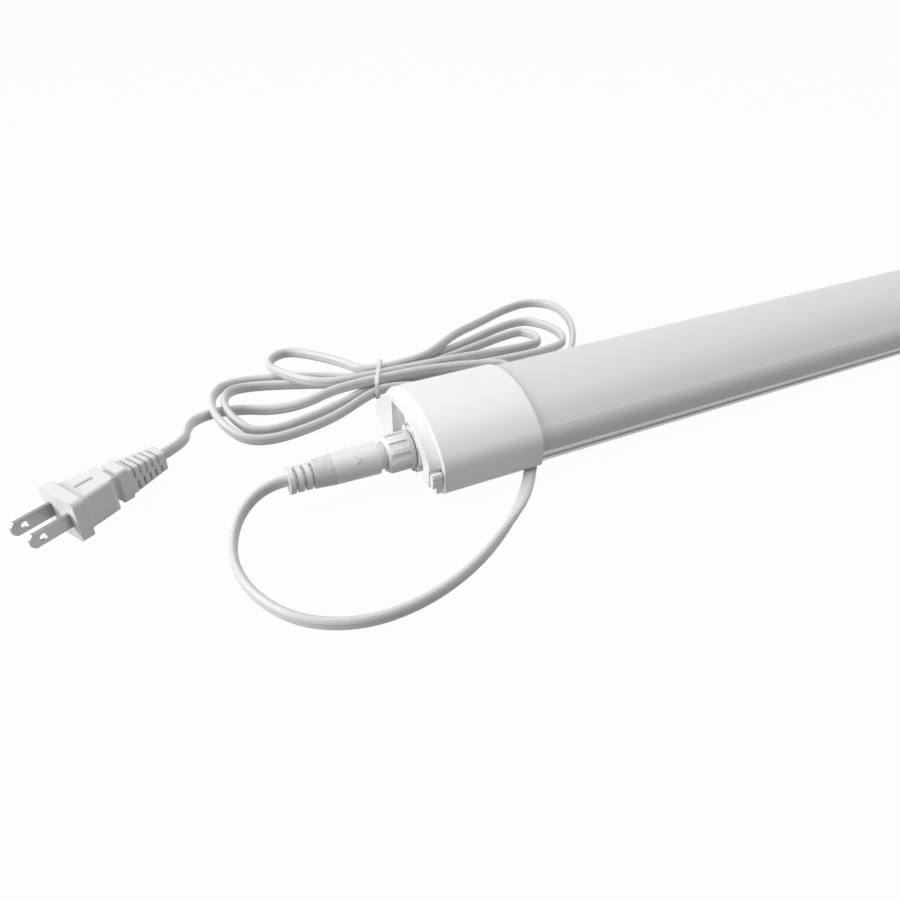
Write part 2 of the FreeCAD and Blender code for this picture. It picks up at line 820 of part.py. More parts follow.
def build_coupling():
    node(
        "nut_ring",
        ring_shape(
            "NutRing", "thread_radius", "neck_radius + running_fit", "ring_thickness",
            "shoulder_x - slip_fit - ring_thickness",
        ),
    )
    drum = rod("NutDrum", "nut_radius", "nut_drum", "nut_front - nut_drum", "axis_y", "axis_z")
    cone = taper("NutCone", "nut_taper_radius", "nut_radius", "nut_taper", "nut_back", "axis_y", "axis_z")
    bore_length = "nut_front - nut_bore_end"
    bore = rod("NutBore", "thread_radius + running_fit", bore_length, "nut_bore_end", "axis_y", "axis_z")
    back_length = "nut_bore_end - nut_back"
    back = rod("NutBack", "neck_radius + running_fit", back_length, "nut_back", "axis_y", "axis_z")
    count = int(size("nut_pockets"))
    pockets = []
    for index in range(count):
        angle = 360 * index / count
        turn = FreeCAD.Rotation(Vec(1, 0, 0), angle)
        floor = size("nut_radius - pocket_depth")
        half = size("pocket_width / 2")
        groove = box(f"Pocket_{index}", "pocket_length", "pocket_width", "2 * pocket_depth")
        corner = turn.multVec(Vec(0, -half, floor))
        groove.Placement = FreeCAD.Placement(Vec(), turn)
        groove.setExpression(".Placement.Base.x", link("nut_front - nut_drum - nut_taper / 2"))
        groove.setExpression(".Placement.Base.y", link(f"axis_y + {corner.y}"))
        groove.setExpression(".Placement.Base.z", link(f"axis_z + {corner.z}"))
        rounded = rod(f"PocketEnd_{index}", "pocket_width / 2", "2 * pocket_depth")
        centre = turn.multVec(Vec(0, 0, floor))
        rounded.Placement = FreeCAD.Placement(Vec(), turn)
        rounded.setExpression(".Placement.Base.x", link("nut_front - nut_drum - nut_taper / 2 + pocket_length"))
        rounded.setExpression(".Placement.Base.y", link(f"axis_y + {centre.y}"))
        rounded.setExpression(".Placement.Base.z", link(f"axis_z + {centre.z}"))
        pockets += [groove, rounded]
    node("coupling_nut", cut("Nut", join("NutBlank", drum, cone), bore, back, *pockets))


def build_connector():
    node(
        "connector_seal",
        ring_shape("ConnectorSeal", "back_nut_radius", "nose_radius + slip_fit", "seal_thickness", "shoulder_x"),
    )
    nose_length = "near_rim - contact_start - shoulder_x"
    parts = [
        rod("Nose", "nose_radius", nose_length, "shoulder_x", "axis_y", "axis_z"),
        rod("Neck", "neck_radius", "shoulder_x - body_front", "body_front", "axis_y", "axis_z"),
        taper("Grip", "body_rear_radius", "body_radius", "body_length", "body_back", "axis_y", "axis_z"),
        taper(
            "FineCore", "fine_ring_radius - fine_ring_depth", "body_rear_radius - fine_ring_depth",
            "body_back - fine_back", "fine_back", "axis_y", "axis_z",
        ),
        rod("ReliefCore", "relief_core_radius", "fine_back - relief_back", "relief_back", "axis_y", "axis_z"),
    ]
    for index in range(int(size("fine_rings"))):
        parts.append(
            rod(
                f"FineRing_{index}", f"fine_ring_radius + {index} * fine_ring_growth", "fine_ring_length",
                f"fine_back + {index} * fine_ring_pitch", "axis_y", "axis_z",
            )
        )
    for index in range(int(size("relief_ribs"))):
        parts.append(
            rod(
                f"ReliefRib_{index}", "relief_radius", "relief_rib",
                f"relief_back + {index} * relief_pitch", "axis_y", "axis_z",
            )
        )
    for index, z in enumerate(("axis_z - relief_radius + relief_rib", "axis_z + relief_core_radius - relief_rib")):
        parts.append(
            box(
                f"ReliefBar_{index}", "fine_back - relief_back", "2 * relief_bar", "relief_radius - relief_core_radius",
                "relief_back", "axis_y - relief_bar", z,
            )
        )
    arrow = doc.addObject("Part::Prism", "Arrow")
    arrow.Polygon = 3
    bind(arrow, Circumradius="arrow_size", Height="2 * arrow_rise")
    tilt = FreeCAD.Rotation(Vec(1, 0, 0), size("arrow_angle"))
    seat = tilt.multVec(Vec(0, 0, size("body_rear_radius - arrow_rise")))
    put(arrow, "body_front - body_length / 2", f"axis_y + {seat.y}", f"axis_z + {seat.z}", tilt)
    parts.append(arrow)
    cavity = "contact_start + slip_fit + contact_length"
    holes = pin_row("ContactHole", "pin_radius + contact_wall + 2 * slip_fit", cavity, f"near_rim - ({cavity})")
    node("connector_body", cut("Connector", join("ConnectorBlank", *parts), *holes))
    start = "near_rim - contact_start - contact_length"
    outer = pin_row("ContactOuter", "pin_radius + contact_wall + slip_fit", "contact_length", start)
    inner = pin_row("ContactInner", "pin_radius + slip_fit", "contact_length", start)
    contacts = doc.addObject("Part::Compound", "Contacts")
    contacts.Links = [cut(f"Contact_{index}", outer[index], inner[index]) for index in range(2)]
    node("connector_contacts", contacts)


def plug_place(obj):
    obj.Placement = FreeCAD.Placement(Vec(), FreeCAD.Rotation(Vec(0, 0, 1), size("plug_turn")))
    for axis, text in zip("xyz", ("near_rim + plug_x", "plug_y", "face_height / 2")):
        obj.setExpression(f".Placement.Base.{axis}", link(text))
    return obj


def centred_box(name, length, width, height, x):
    return box(name, length, width, height, x, f"-({width}) / 2", f"-({height}) / 2")


def wedge(name, length, width, height, end_width, end_height, x):
    """A block along X whose section changes evenly from one size to another."""
    obj = doc.addObject("Part::Wedge", name)
    obj.Placement = FreeCAD.Placement(Vec(), FreeCAD.Rotation(Vec(0, 0, 1), -90))
    bind(
        obj, Ymin="0", Ymax=length, Xmin=f"-({width}) / 2", Xmax=f"({width}) / 2",
        Zmin=f"-({height}) / 2", Zmax=f"({height}) / 2", X2min=f"-({end_width}) / 2", X2max=f"({end_width}) / 2",
        Z2min=f"-({end_height}) / 2", Z2max=f"({end_height}) / 2",
    )
    obj.setExpression(".Placement.Base.x", link(x))
    return obj


def edges_along(obj, axis, at=None):
    """Numbers of an object's edges that run along an axis and, where a place is given, lie at that X."""
    nearly_parallel = 0.9
    found = []
    for index, edge in enumerate(obj.Shape.Edges, start=1):
        if abs(edge.tangentAt(edge.FirstParameter).dot(axis)) < nearly_parallel:
            continue
        if at is None or abs(edge.CenterOfMass.x - size(at)) < size("slip_fit"):
            found.append(index)
    return found


def shaped_edges(kind, name, base, *choices):
    """Rounds or bevels the chosen edges; each choice is an axis, a size and, if need be, a place along X."""
    obj = doc.addObject(kind, name)
    obj.Base = base
    doc.recompute()
    chosen = []
    for axis, amount, *place in choices:
        chosen += [(index, size(amount), size(amount)) for index in edges_along(base, axis, *place)]
    obj.Edges = chosen
    return obj


def tail_comb(start):
    """Slices that leave the plug's tail as two staggered rows of ribs round a core."""
    slices = []
    for index in range(int(size("tail_slots"))):
        for row, shift, z in (
            ("upper", "0", "tail_web / 2"),
            ("lower", "tail_slot_shift", "-tail_web / 2 - tail_height"),
        ):
            x = f"{start} + tail_slot_start + {shift} + {index} * tail_pitch"
            slices.append(
                box(f"TailSlot_{row}_{index}", "tail_slot_width", "2 * tail_width", "tail_height", x, "-tail_width", z)
            )
    core = centred_box("TailCore", "tail_length", "tail_core", "tail_core", start)
    return cut("TailComb", join("TailSlices", *slices), core)


def build_plug():
    """The mains plug in its own frame, X from the face towards the lead, then turned into place."""
    along_x, along_y, along_z = Vec(1, 0, 0), Vec(0, 1, 0), Vec(0, 0, 1)
    face = centred_box("PlugFace", "face_thickness", "face_width", "face_height", "0")
    grip = wedge(
        "PlugGrip", "grip_length", "grip_width", "grip_height", "grip_end_width", "grip_height", "face_thickness",
    )
    grip_end = "face_thickness + grip_length"
    throat_length = "throat_length + grip_round"
    throat = centred_box("PlugThroat", throat_length, "throat_width", "throat_height", f"{grip_end} - grip_round")
    block_start = f"{grip_end} + throat_length"
    block = centred_box("PlugBlock", "block_length", "block_width", "block_height", block_start)
    tail_start = f"{block_start} + block_length"
    tail = wedge(
        "PlugTail", "tail_length", "tail_width", "tail_height", "tail_end_width", "tail_end_height", tail_start,
    )
    blank = join(
        "PlugBlank",
        shaped_edges("Part::Fillet", "PlugFaceRound", face, (along_x, "face_round")),
        shaped_edges(
            "Part::Fillet", "PlugGripRound", grip, (along_x, "grip_edge"), (along_z, "grip_round", grip_end)
        ),
        throat,
        shaped_edges("Part::Fillet", "PlugBlockRound", block, (along_x, "block_edge")),
        shaped_edges("Part::Fillet", "PlugTailRound", tail, (along_x, "tail_edge")),
    )
    bar = box(
        "GripBar", "bar_length", "bar_width", "bar_depth",
        "face_thickness + bar_start", "-bar_width / 2", "grip_height / 2 - bar_depth",
    )
    seats = [
        box(
            f"BladeSeat_{index}", "blade_root", "blade_thickness + 2 * slip_fit", "blade_height + 2 * slip_fit",
            "0", f"{y} - blade_thickness / 2 - slip_fit", "-blade_height / 2 - slip_fit",
        )
        for index, y in enumerate(("-blade_spacing / 2", "blade_spacing / 2"))
    ]
    node("plug_body", plug_place(cut("Plug", blank, bar, tail_comb(tail_start), *seats)))
    for name, y in (("front", "-blade_spacing / 2"), ("back", "blade_spacing / 2")):
        blade = box(
            "Blade_" + name, "blade_reach + blade_root", "blade_thickness", "blade_height",
            "-blade_reach", f"{y} - blade_thickness / 2", "-blade_height / 2",
        )
        hole = rod(
            "BladeHole_" + name, "blade_hole_radius", "2 * blade_thickness",
            "-blade_hole_reach", f"{y} - blade_thickness", "0", ALONG_Y,
        )
        tip = shaped_edges("Part::Chamfer", "BladeTip_" + name, blade, (along_y, "blade_chamfer", "-blade_reach"))
        node("plug_blade_" + name, plug_place(cut("BladeDrilled_" + name, tip, hole)))


def hank_loop(side, tilt, origin, reach, half, depth, swells, heights):
    """Corners of one loop of the hank, out along a tilted axis from one slot at the waist and back to another."""
    angle = math.radians(tilt)
    along = Vec(math.cos(angle), math.sin(angle), 0)
    across = Vec(-math.sin(angle), math.cos(angle), 0) * side
    centre = reach - depth
    inner = math.tan(math.pi / 8)
    early = 0.4 * reach
    stations = (
        (early, swells[0]),
        (centre + inner * depth, half),
        (reach, inner * half),
        (reach, -inner * half),
        (centre + inner * depth, -half),
        (early, -swells[1]),
    )
    points = []
    for (out, wide), height in zip(stations, heights):
        place = origin + along * out + across * wide
        points.append((place.x, place.y, height))
    return points


def lead_paths():
    """Corners of the three stretches of the lead, hand-placed except for the hank's loops."""
    rim = size("near_rim")
    low = size("lead_radius + slip_fit")
    high = low + size("layer_step")
    lift = size("tie_thickness + tie_clearance")
    waist = Vec(rim + size("waist_x"), size("waist_y"), 0)
    half = size("waist_half")
    pitch = size("slot_pitch")
    slots = {
        "p1": (pitch, high), "p2": (1.5 * pitch, low), "p3": (pitch / 2, low), "p4": (0, high),
        "p5": (-pitch, high), "p6": (-pitch / 2, low), "p7": (-1.5 * pitch, low),
    }

    def edge(slot, side):
        offset, height = slots[slot]
        return (waist.x + side * half, waist.y + offset, height + lift)

    def loop(side, tilt, reach, width, depth, swells, heights, origin=waist):
        return hank_loop(side, tilt, origin, reach, width, depth, swells, heights)

    level = (low,) * 6
    bridge = (low, low + 1.75, high, high, low, low)
    carry = high + lift / 2
    fall = (high, low, low, low, low, low)
    climb = (low, low, low, low, (low + high) / 2, high)
    handover = size("waist_handover")
    right_start = Vec(waist.x, waist.y - size("right_loop_drop"), 0)
    hank = [(waist.x + handover, waist.y + pitch, high + lift), edge("p1", -1)]
    hank += loop(-1, 137, 63, 12, 12, (7.5, 20), (carry, high, high, high, high, carry))
    hank += [edge("p4", -1), edge("p4", 1)]
    hank += loop(-1, 8, 106, 11, 9, (7, 4.5), fall)
    hank += [edge("p3", 1), edge("p3", -1)]
    hank += loop(-1, 178, 80, 25, 18, (15, 15), bridge)
    hank += [edge("p6", -1), edge("p6", 1)]
    hank += loop(-1, 8.5, 122, 23, 20, (10.5, 10.5), level)
    hank += [edge("p2", 1), edge("p2", -1)]
    hank += loop(-1, 178, 86, 32, 22, (25, 25), bridge)
    hank += [edge("p7", -1), edge("p7", 1)]
    hank += loop(-1, -10, 72, 7, 7, (5.5, 5.5), climb, right_start)
    hank += [edge("p5", 1), (waist.x - handover, waist.y - pitch, high + lift)]
    front = [
        (-59.0, -6, 14.8), (-68, -6, 14.8), (-79, -9, 9), (-86.5, -19, 3.4), (-89, -36, low), (-85, -55, low),
        (-74, -72, low), (-55, -82, low), (-32, -82, low), (-8, -74, low), (14, -60, low), (33, -44, low),
        (48, -24, low), (64, -3, low), (82, 20, low), (104, 43, low), (128, 63, low), (142, 82, low),
        (151, 102, low), (153, 121, low), (141, 133, low), (120, 129, low), (96, 115, 4.5), (72, 101, 7.85),
        (54, 88, 8.5), (39, 78.3, high + lift), (26.2, 78.3, high + lift),
    ]
    front[0] = (size("relief_back - near_rim"), size("axis_y"), size("axis_z"))
    lead = [
        (-1.8, 68.3, high + lift), (-13, 68.3, 8.6), (-30, 66.5, 5.2), (-45, 71, 2.5), (-59, 79.5, low),
        (-73, 83, low), (-84.5, 77, 3.6), (-88.6, 64.3, 7.2),
    ]
    turn = math.radians(size("plug_turn"))
    back = size("plug_length")
    for reach in (back + handover, back):
        x = size("plug_x") + reach * math.cos(turn)
        y = size("plug_y") + reach * math.sin(turn)
        lead.append((x, y, size("face_height / 2")))
    paths = {"cord_front_loop": front, "cord_plug_lead": lead}
    paths = {name: [(rim + x, y, z) for x, y, z in points] for name, points in paths.items()}
    paths["cord_hank"] = hank
    return paths


def spaced_points(points, step):
    """Points along the tangent-arc route itself, for measuring gaps."""
    tube_path = polyline_path([Vec(*point) for point in points])[0]
    count = int(tube_path.Length / step)
    return [place for place in tube_path.discretize(Number=count)]


def least_gap(first, second, same, step):
    least = math.inf
    where = None
    skip = int(3 * 2 * size("lead_radius") / step)
    for index, place in enumerate(first):
        for other_index, other in enumerate(second):
            if same and abs(index - other_index) < skip:
                continue
            distance = (place - other).Length
            if distance < least:
                least = distance
                where = place
    return least - 2 * size("lead_radius"), where


def build_lead():
    paths = lead_paths()
    routes = {}
    for label, points in paths.items():
        lay_tube(label, points, size("lead_radius"))
        routes[label] = spaced_points(points, 2)
    names = list(routes)
    for index, name in enumerate(names):
        for other in names[index:]:
            same = name == other
            first, second = routes[name], routes[other]
            if not same:
                ends = {"cord_hank": slice(4, -4)}
                first = first[ends.get(name, slice(None))]
                second = second[ends.get(other, slice(None))]
            gap, place = least_gap(first, second, same, 2)
            where = (place.x - size("near_rim"), place.y, place.z)
            print(f"{name} to {other}: least gap {gap:.2f} at", [round(value, 1) for value in where])


def build_tie():
    """The band round the hank's waist, made about its own middle, then turned as it crosses the lead askew."""
    along_x = Vec(1, 0, 0)
    spread = "3 * slot_pitch + 2 * lead_radius + 2 * tie_clearance"
    across = f"(({spread} - tie_width * sin(tie_turn * 1 deg)) / cos(tie_turn * 1 deg) + 2 * tie_slack)"
    tall = "layer_step + 2 * lead_radius + 2 * tie_clearance"
    start = "-tie_width / 2"
    outer = box(
        "TieOuter", "tie_width", f"{across} + 2 * tie_thickness", f"{tall} + 2 * tie_thickness",
        start, f"-{across} / 2 - tie_thickness", "0",
    )
    inner = box("TieInner", "tie_width", across, tall, start, f"-{across} / 2", "tie_thickness")
    inner_round = "lead_radius + tie_clearance"
    band = shaped_edges("Part::Fillet", "TieOuterRound", outer, (along_x, f"{inner_round} + tie_thickness"))
    opening = shaped_edges("Part::Fillet", "TieInnerRound", inner, (along_x, inner_round))
    tie = cut("Tie", band, opening)
    tie.Placement = FreeCAD.Placement(Vec(), FreeCAD.Rotation(Vec(0, 0, 1), size("tie_turn")))
    for axis, text in zip("xy", ("near_rim + waist_x", "waist_y")):
        tie.setExpression(f".Placement.Base.{axis}", link(text))
    node("hank_tie", tie)


def build_clip(end):
    sign = -1 if end == "near" else 1
    centre = f"{sign} * clip_offset"
    half = "base_half_width + slide_fit"
    start = f"{centre} - clip_length / 2"
    parts = [
        box(f"ClipPlate_{end}", "clip_length", f"2 * ({half} + clip_arm)", "clip_sheet",
            start, f"-({half}) - clip_arm", "plate_bottom"),
    ]
    bead_bottom = "base_bottom + bead_bottom"
    arm_height = f"{bead_bottom} + bead_height - plate_bottom"
    for side, s in (("front", -1), ("back", 1)):
        arm_y = half if s > 0 else f"-({half}) - clip_arm"
        bead_y = f"{half} - bead_depth - slide_fit" if s > 0 else f"-({half})"
        parts.append(box(f"ClipArm_{end}_{side}", "clip_length", "clip_arm", arm_height, start, arm_y, "plate_bottom"))
        parts.append(
            box(
                f"ClipBead_{end}_{side}", "clip_length", "bead_depth + slide_fit", "bead_height",
                start, bead_y, bead_bottom,
            )
        )
        ear_y = "ear_half_spacing - ear_thickness / 2" if s > 0 else "-ear_half_spacing - ear_thickness / 2"
        parts.append(
            box(f"ClipEar_{end}_{side}", "ear_length", "ear_thickness", "plate_bottom",
                f"{centre} - ear_length / 2", ear_y, "0")
        )
    pivot = rod(f"ClipPivot_{end}", "bail_radius + pivot_fit", "4 * ear_half_spacing",
                centre, "-2 * ear_half_spacing", "pivot_height", ALONG_Y)
    screw = rod(f"ClipScrew_{end}", "clip_screw_radius", "2 * clip_sheet",
                centre, "0", "plate_bottom - clip_sheet / 2", UPRIGHT)
    node("hanging_clip_" + end, cut("Clip_" + end, join("ClipBlank_" + end, *parts), pivot, screw))


def build_bail(end):
    towards = 1 if end == "near" else -1
    pivot_x = -towards * size("clip_offset")
    pivot_z = size("pivot_height")
    reach = size("bail_reach")
    outline = (
        (0, "bail_inner_end"), (0, "bail_half_width"), (size("bail_shoulder"), "bail_half_width"),
        (reach, "bail_tip_half_width"),
    )
    half = [
        (pivot_x + towards * out, size(wide), pivot_z - size("bail_rest_drop") * out / reach)
        for out, wide in outline
    ]
    points = half + [(x, -y, z) for x, y, z in reversed(half)]
    tube, length, tightest = polyline_tube(points, size("bail_radius"))
    print(f"bail {end}: wire length {length:.0f}, least radius {tightest:.1f}")
    solid_node("hanging_bail_" + end, tube)


def build_wires():
    radius = size("wire_radius")
    card_start = size("case_start + (driver_length - card_length) / 2")
    lap = size("wire_lap")
    rest = size("card_top + wire_radius")
    level = size("axis_z")
    start = size("near_rim + pin_inner_end")
    bend = start + size("wire_straight")
    landing = bend + size("wire_descent")
    inputs = []
    for y in (size("axis_y - pin_spacing / 2"), size("axis_y + pin_spacing / 2")):
        points = [(start, y, level), (bend, y, level), (landing, y, rest), (card_start + lap, y, rest)]
        inputs.append(polyline_tube(points, radius)[0])
    solid_node("input_wires", Part.makeCompound(inputs))
    card_end = card_start + size("card_length")
    hole_x = size("case_start + driver_length + wire_hole_start")
    top = size("tray_top + board_thickness + wire_radius")
    tail_end = hole_x + size("wire_tail")
    outputs = []
    for sign in (-1, 1):
        y = sign * size("wire_hole_across")
        points = [(card_end - lap, y, rest), (hole_x, y, rest), (hole_x, y, top), (tail_end, y, top)]
        outputs.append(polyline_tube(points, radius)[0])
    solid_node("output_wires", Part.makeCompound(outputs))


def wire_holes(name, height, z):
    rows = ("-wire_hole_across", "wire_hole_across")
    return [
        rod(f"{name}_{index}", "2 * wire_radius", height, "case_start + driver_length + wire_hole_start",
            y, z, UPRIGHT)
        for index, y in enumerate(rows)
    ]


def check_and_export():
    doc.recompute()
    os.makedirs("parts", exist_ok=True)
    for obj in doc.Objects:
        state = [word for word in obj.State if word in ("Invalid", "Error")]
        if state:
            raise RuntimeError(f"{obj.Name} is {state}")
    for label, obj in nodes.items():
        shape = obj.Shape
        if shape.isNull() or not shape.isValid() or not shape.Solids:
            raise RuntimeError(f"{label} has no valid solid")
        bounds = shape.BoundBox
        print(
            f"{label}: {len(shape.Solids)} solid(s), volume {shape.Volume:.0f},"
            f" x {bounds.XMin:.2f}..{bounds.XMax:.2f}, y {bounds.YMin:.2f}..{bounds.YMax:.2f},"
            f" z {bounds.ZMin:.2f}..{bounds.ZMax:.2f}"
        )
        shape.exportStep(f"parts/{label}.step")


def main():
    fill_sheet()
    build_base()
    build_diffuser()
    build_tray()
    build_boards()
    build_driver()
    build_wires()
    for end in ("near", "far"):
        build_sleeve(end)
        build_end_plug(end)
        build_gasket(end)
        build_clip(end)
        build_bail(end)
    build_inlet()
    build_coupling()
    build_connector()
    build_plug()
    build_tie()
    build_lead()
    check_and_export()


main()
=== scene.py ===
import math

import bpy
from mathutils import Matrix, Vector


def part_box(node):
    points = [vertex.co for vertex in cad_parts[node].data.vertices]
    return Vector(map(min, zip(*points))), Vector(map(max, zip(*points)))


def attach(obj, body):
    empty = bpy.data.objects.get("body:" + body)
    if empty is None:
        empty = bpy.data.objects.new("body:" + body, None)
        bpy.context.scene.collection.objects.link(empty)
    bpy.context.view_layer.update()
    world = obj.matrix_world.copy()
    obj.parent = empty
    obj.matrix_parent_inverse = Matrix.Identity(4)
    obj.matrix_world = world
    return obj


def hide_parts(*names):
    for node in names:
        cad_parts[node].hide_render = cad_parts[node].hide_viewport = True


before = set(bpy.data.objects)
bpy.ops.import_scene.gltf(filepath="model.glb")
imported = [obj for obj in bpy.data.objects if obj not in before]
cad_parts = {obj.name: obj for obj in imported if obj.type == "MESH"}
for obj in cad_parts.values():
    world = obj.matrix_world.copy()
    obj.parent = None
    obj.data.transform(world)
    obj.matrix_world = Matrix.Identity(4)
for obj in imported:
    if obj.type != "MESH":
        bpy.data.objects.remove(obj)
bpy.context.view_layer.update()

# Looks for the hanging shop light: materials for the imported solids, the flat lead, the studio and the camera.

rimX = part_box("end_sleeve_near")[0][0]

scene = bpy.context.scene
scene.view_settings.view_transform = "Standard"


def newSocket(group, name, kind, default=None, output=False):
    side = "OUTPUT" if output else "INPUT"
    socket = group.interface.new_socket(name=name, in_out=side, socket_type=kind)
    if default is not None:
        socket.default_value = default
    return socket


texture = {"driftScale": 35, "driftDetail": 3, "grainDetail": 2, "grainHeight": 0.0004, "edgeSamples": 4}


# Slow colour drift, fine grain or drawn lines, and softened edges, for every moulded or rolled surface.
def surfaceGroup():
    group = bpy.data.node_groups.new("surfaceDetail", "ShaderNodeTree")
    newSocket(group, "Color", "NodeSocketColor", (0.8, 0.8, 0.8, 1))
    newSocket(group, "Drift", "NodeSocketFloat", 0.03)
    newSocket(group, "Grain Scale", "NodeSocketFloat", 900.0)
    newSocket(group, "Grain Depth", "NodeSocketFloat", 0.02)
    newSocket(group, "Roughness", "NodeSocketFloat", 0.35)
    newSocket(group, "Roughness Spread", "NodeSocketFloat", 0.08)
    newSocket(group, "Stretch", "NodeSocketVector", (1, 1, 1))
    newSocket(group, "Edge Softness", "NodeSocketFloat", 0.0004)
    newSocket(group, "Color", "NodeSocketColor", output=True)
    newSocket(group, "Roughness", "NodeSocketFloat", output=True)
    newSocket(group, "Normal", "NodeSocketVector", output=True)
    nodes, links = group.nodes, group.links
    given = nodes.new("NodeGroupInput")
    result = nodes.new("NodeGroupOutput")
    coordinates = nodes.new("ShaderNodeTexCoord")
    stretched = nodes.new("ShaderNodeVectorMath")
    stretched.operation = "MULTIPLY"
    links.new(coordinates.outputs["Object"], stretched.inputs[0])
    links.new(given.outputs["Stretch"], stretched.inputs[1])
    slow = nodes.new("ShaderNodeTexNoise")
    slow.inputs["Scale"].default_value = texture["driftScale"]
    slow.inputs["Detail"].default_value = texture["driftDetail"]
    links.new(coordinates.outputs["Object"], slow.inputs["Vector"])
    grain = nodes.new("ShaderNodeTexNoise")
    grain.inputs["Detail"].default_value = texture["grainDetail"]
    links.new(stretched.outputs[0], grain.inputs["Vector"])
    links.new(given.outputs["Grain Scale"], grain.inputs["Scale"])
    centred = nodes.new("ShaderNodeMath")
    centred.operation = "SUBTRACT"
    centred.inputs[1].default_value = 0.5
    links.new(slow.outputs["Fac"], centred.inputs[0])
    shift = nodes.new("ShaderNodeMath")
    shift.operation = "MULTIPLY_ADD"
    shift.inputs[2].default_value = 1.0
    links.new(centred.outputs[0], shift.inputs[0])
    links.new(given.outputs["Drift"], shift.inputs[1])
    tinted = nodes.new("ShaderNodeVectorMath")
    tinted.operation = "SCALE"
    links.new(given.outputs["Color"], tinted.inputs[0])
    links.new(shift.outputs[0], tinted.inputs["Scale"])
    links.new(tinted.outputs[0], result.inputs["Color"])
    rough = nodes.new("ShaderNodeMath")
    rough.operation = "MULTIPLY_ADD"
    links.new(grain.outputs["Fac"], rough.inputs[0])
    links.new(given.outputs["Roughness Spread"], rough.inputs[1])
    links.new(given.outputs["Roughness"], rough.inputs[2])
    links.new(rough.outputs[0], result.inputs["Roughness"])
    softened = nodes.new("ShaderNodeBevel")
    softened.samples = texture["edgeSamples"]
    links.new(given.outputs["Edge Softness"], softened.inputs["Radius"])
    bump = nodes.new("ShaderNodeBump")
    links.new(softened.outputs["Normal"], bump.inputs["Normal"])
    bump.inputs["Distance"].default_value = texture["grainHeight"]
    links.new(grain.outputs["Fac"], bump.inputs["Height"])
    links.new(given.outputs["Grain Depth"], bump.inputs["Strength"])
    links.new(bump.outputs["Normal"], result.inputs["Normal"])
    return group


detailGroup = surfaceGroup()


finishes = {
    "whitePlastic": {"color": (0.90, 0.90, 0.90), "roughness": 0.34, "edge": 0.0005},
    "connectorPlastic": {"color": (0.82, 0.82, 0.82), "roughness": 0.38, "grainDepth": 0.05, "edge": 0.0004},
    "plugPlastic": {"color": (0.84, 0.84, 0.84), "roughness": 0.40, "grainDepth": 0.05, "edge": 0.0007},
    "diffuserPlastic": {
        "color": (0.75, 0.75, 0.75), "roughness": 0.42, "drift": 0.015, "grainScale": 1400,
        "translucency": 0.15,
    },
    "aluminium": {
        "color": (0.50, 0.51, 0.52), "roughness": 0.38, "metallic": 0.85, "drift": 0.05, "grainScale": 1200,
        "grainDepth": 0.08, "stretch": (0.03, 1, 1),
    },
    "leadPlastic": {"color": (0.70, 0.70, 0.70), "roughness": 0.36, "drift": 0.04, "grainScale": 1500},
    "tiePlastic": {"color": (0.80, 0.80, 0.80), "roughness": 0.45, "drift": 0.05, "edge": 0.0003},
    "nickel": {
        "color": (0.34, 0.34, 0.34), "roughness": 0.30, "metallic": 1.0, "drift": 0.12, "grainScale": 1600,
        "grainDepth": 0.10, "stretch": (0.2, 1, 1), "edge": 0.0002,
    },
    "brass": {
        "color": (0.70, 0.52, 0.22), "roughness": 0.28, "metallic": 1.0, "drift": 0.10, "grainDepth": 0.06,
    },
    "springSteel": {"color": (0.58, 0.58, 0.58), "roughness": 0.25, "metallic": 1.0, "drift": 0.08},
    "sheetSteel": {"color": (0.80, 0.80, 0.80), "roughness": 0.45, "grainDepth": 0.05},
    "sealRubber": {"color": (0.30, 0.30, 0.30), "roughness": 0.60, "drift": 0.10, "grainDepth": 0.10},
    "boardWhite": {"color": (0.85, 0.85, 0.82), "roughness": 0.50, "drift": 0.04},
    "boardGreen": {"color": (0.05, 0.25, 0.12), "roughness": 0.40, "drift": 0.10},
    "chipYellow": {"color": (0.85, 0.70, 0.20), "roughness": 0.35, "drift": 0.05},
    "darkPlastic": {"color": (0.06, 0.06, 0.065), "roughness": 0.45, "drift": 0.10},
}


# What a finish has where it names nothing else.
plainFinish = {
    "drift": 0.03, "grainScale": 900, "grainDepth": 0.03, "stretch": (1, 1, 1), "edge": 0.0002, "metallic": 0,
    "translucency": 0, "translucencyDepth": 0.004,
}


def makeMaterial(name, finish):
    material = bpy.data.materials.new(name)
    material.use_nodes = True
    nodes, links = material.node_tree.nodes, material.node_tree.links
    shader = nodes["Principled BSDF"]
    detail = nodes.new("ShaderNodeGroup")
    detail.node_tree = detailGroup
    detail.inputs["Color"].default_value = (*finish["color"], 1)
    detail.inputs["Drift"].default_value = finish["drift"]
    detail.inputs["Grain Scale"].default_value = finish["grainScale"]
    detail.inputs["Grain Depth"].default_value = finish["grainDepth"]
    detail.inputs["Roughness"].default_value = finish["roughness"]
    detail.inputs["Stretch"].default_value = finish["stretch"]
    detail.inputs["Edge Softness"].default_value = finish["edge"]
    links.new(detail.outputs["Color"], shader.inputs["Base Color"])
    links.new(detail.outputs["Roughness"], shader.inputs["Roughness"])
    links.new(detail.outputs["Normal"], shader.inputs["Normal"])
    shader.inputs["Metallic"].default_value = finish["metallic"]
    if finish["translucency"]:
        shader.inputs["Subsurface Weight"].default_value = finish["translucency"]
        shader.inputs["Subsurface Scale"].default_value = finish["translucencyDepth"]
    return material


materials = {name: makeMaterial(name, plainFinish | finish) for name, finish in finishes.items()}

